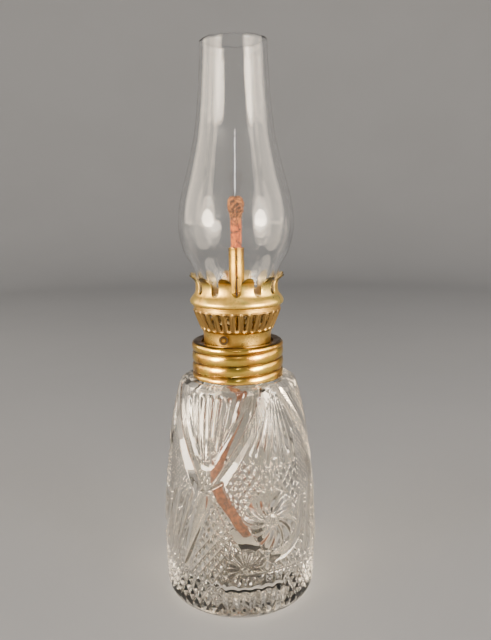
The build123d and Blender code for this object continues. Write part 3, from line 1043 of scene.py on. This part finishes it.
def frayed_fibres():
    """Loose burnt fibre ends that stand out of the wick's crown."""
    fibres = 70
    rng = np.random.default_rng(21)
    points = []
    faces = []
    for _ in range(fibres):
        angle = rng.uniform(0, TURN)
        height = rng.uniform(TUBE_MOUTH + 11.2, WICK_TOP - 0.6)
        root_radius = 2.35 if height < WICK_TOP - 2.0 else 1.7
        root = np.array(around_axis(root_radius, angle, height))
        outward = np.array(around_axis(1.0, angle, 0.0))
        beside = np.array(around_axis(1.0, angle + math.pi / 2, 0.0))
        bend = rng.normal(0, 0.3, 3) + np.array([0, 0, rng.uniform(-0.1, 0.8)])
        length = rng.uniform(0.35, 0.85)
        faces += faces_from(len(points), grid_faces(3, 3) + [(6, 7, 8)])
        for step, width in ((0.0, 0.085), (0.5, 0.06), (1.0, 0.02)):
            centre = root + length * step * outward + bend * step**2 * length * 1.5
            for turn in (0, TURN / 3, 2 * TURN / 3):
                points.append(centre + width * (math.cos(turn) * beside + [0, 0, math.sin(turn)]))
    make_mesh("frayed_fibres", points, faces, "wick", wick_cotton)


burnt_wick()
frayed_fibres()


def spline_points(route_m, count):
    """Evenly spaced points, in millimetres, along the NURBS line of a route in metres."""
    curve = bpy.data.curves.new("route", "CURVE")
    curve.dimensions = "3D"
    curve.resolution_u = 24
    spline = curve.splines.new("NURBS")
    spline.points.add(len(route_m) - 1)
    for point, place in zip(spline.points, route_m):
        point.co = (*place, 1.0)
    spline.order_u = 3
    spline.use_endpoint_u = True
    holder = bpy.data.objects.new("route", curve)
    mesh = bpy.data.meshes.new_from_object(holder)
    path = np.array([v.co for v in mesh.vertices]) / MM
    bpy.data.objects.remove(holder)
    bpy.data.curves.remove(curve)
    bpy.data.meshes.remove(mesh)
    return spaced_evenly(path, count)


def hanging_tail():
    """The wick's tail, hanging limp in the empty font."""
    route = [(0, 0, 0.0823), (0, 0, 0.0743), (0.0016, -0.0004, 0.0668), (-0.0040, -0.0010, 0.0545),
             (-0.0094, -0.0014, 0.0385), (-0.0042, -0.0008, 0.0270), (0.0035, 0.0002, 0.0187)]
    path = spline_points(route, 180)
    length = 69
    yarn_radius = 1.85
    columns = 48
    tangent = unit(np.gradient(path, axis=0))
    side = unit(np.cross(tangent, [0.0, 1.0, 0.0]))
    up = np.cross(side, tangent)
    along = np.linspace(0, length, len(path))[:, None]
    angle = np.linspace(0, TURN, columns, endpoint=False)[None, :]
    frayed = smoothstep(length - 10, length - 4, along) * (0.8 + 0.3 * ripple(2 * angle, along, 9, 0.2))
    radius = yarn_radius + KNIT_RELIEF * (knit(angle, along) - 0.5) + frayed
    radius = radius * (1 - 0.35 * smoothstep(length - 1, length, along))
    points = path[:, None, :] + radius[:, :, None] * (np.cos(angle)[:, :, None] * side[:, None, :]
                                                      + np.sin(angle)[:, :, None] * up[:, None, :])
    points = np.vstack([points.reshape(-1, 3), path[:1], path[-1:]])
    faces = grid_faces(len(path), columns) + pole_faces(len(path), columns)
    # its material is the darker copy of the wick's yarn, painted shade
    tail = make_mesh("hanging_tail", points, faces, "wick", shaded_tail_cotton)
    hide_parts("wick_tail")


hanging_tail()


# ---- CAD pieces that stay as they are, with their materials ----
def dress(node, material, bevel_mm=0.0):
    """Gives a CAD piece its material, and breaks its sharp edges."""
    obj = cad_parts[node]
    obj.data.materials.clear()
    obj.data.materials.append(material)
    if bevel_mm:
        soften_edges(obj, bevel_mm)


dress("neck_washer", washer_cork, 0.1)
dress("burner_floor", inside_brass, 0.05)
dress("tube_ferrule", basket_brass)
dress("vent_tube", tube_brass, 0.05)
dress("air_plate", basket_brass, 0.05)
dress("spur_housing", tube_brass, 0.05)
for raiser_piece in ("spindle", "spur_wheel", "thumbwheel", "knob_washer"):
    dress(raiser_piece, raiser_brass, 0.08)
# the eyelets take the dark brass of painted shade
for eyelet in ("spindle_eyelet_front", "spindle_eyelet_back"):
    dress(eyelet, shaded_eyelet_brass, 0.12)


# ---- floor and light ----
def pale_sweep():
    """A pale floor that curves up all round into a wall, so that no horizon shows behind the lamp."""
    flat = 0.8
    bend = 0.5
    wall_top = 1.8
    columns = 96
    outline = np.vstack([
        [(0.02, 0.0), (0.3, 0.0)],
        arc((flat, bend), bend, -90, 0, 24),
        [(flat + bend, wall_top)],
    ])
    points, faces = turned(outline, columns)
    mesh = bpy.data.meshes.new("pale_sweep")
    mesh.from_pydata(points.tolist(), [], faces + [tuple(range(columns))])
    mesh.shade_smooth()
    sweep = add_object("pale_sweep", mesh)
    mesh.materials.append(plain_floor("sweep_cloth", (0.2, 0.215, 0.24)))


def soft_light(name, azimuth_deg, distance, height, width, tall, radiance, colour):
    """A round-edged light that faces the lamp; azimuth is from the front, positive to the right.

    Sizes and places are in metres.
    """
    data = bpy.data.lights.new(name, "AREA")
    data.shape = "ELLIPSE"
    data.size = width
    data.size_y = tall
    data.energy = radiance * math.pi * (math.pi / 4 * width * tall)
    data.color = colour
    light = add_object(name, data)
    turn = math.radians(azimuth_deg)
    place = Vector((distance * math.sin(turn), -distance * math.cos(turn), height))
    light.location = place
    light.rotation_mode = "QUATERNION"
    wick_height = Vector((0, 0, 0.12))
    light.rotation_quaternion = (wick_height - place).to_track_quat("-Z", "Y")
    light.visible_camera = False
    return light


def side_lights(side, azimuth_deg, colour):
    """A bright window of light inside wider dim ones, and a tall one above, on one side.

    The tall one only shows as a streak on the chimney and the brass, and not through the glass.
    """
    soft_light(side + "_key", azimuth_deg, 0.88, 0.21, 0.40, 0.30, 48.0, colour)
    soft_light(side + "_glow", azimuth_deg * 1.04, 0.92, 0.24, 0.60, 0.50, 6.0, colour)
    soft_light(side + "_surround", azimuth_deg * 1.15, 0.96, 0.30, 0.80, 0.70, 3.0, colour)
    soft_light(side + "_wall", azimuth_deg * 1.8, 1.0, 0.36, 0.90, 0.85, 3.6, colour)
    tall = soft_light(side + "_tall", azimuth_deg, 0.98, 0.70, 0.20, 0.80, 4.5, colour)
    tall.visible_transmission = False


def dim_room():
    """A dim even surround, so that glass edges go dark and brass keeps its contrast."""
    world = bpy.data.worlds.new("room")
    world.use_nodes = True
    background = world.node_tree.nodes["Background"]
    background.inputs["Color"].default_value = (0.5, 0.55, 0.62, 1.0)
    background.inputs["Strength"].default_value = 0.35
    bpy.context.scene.world = world


pale_sweep()
dim_room()
side_lights("left", -55, (1.0, 0.84, 0.65))
side_lights("right", 49, (1.0, 0.85, 0.68))
soft_light("front_strip", 0, 1.15, 0.84, 0.05, 0.32, 26.0, (1.0, 0.98, 0.95))
soft_light("top_fill", 0, 0.2, 1.5, 0.9, 0.9, 1.6, (0.95, 0.97, 1.0))
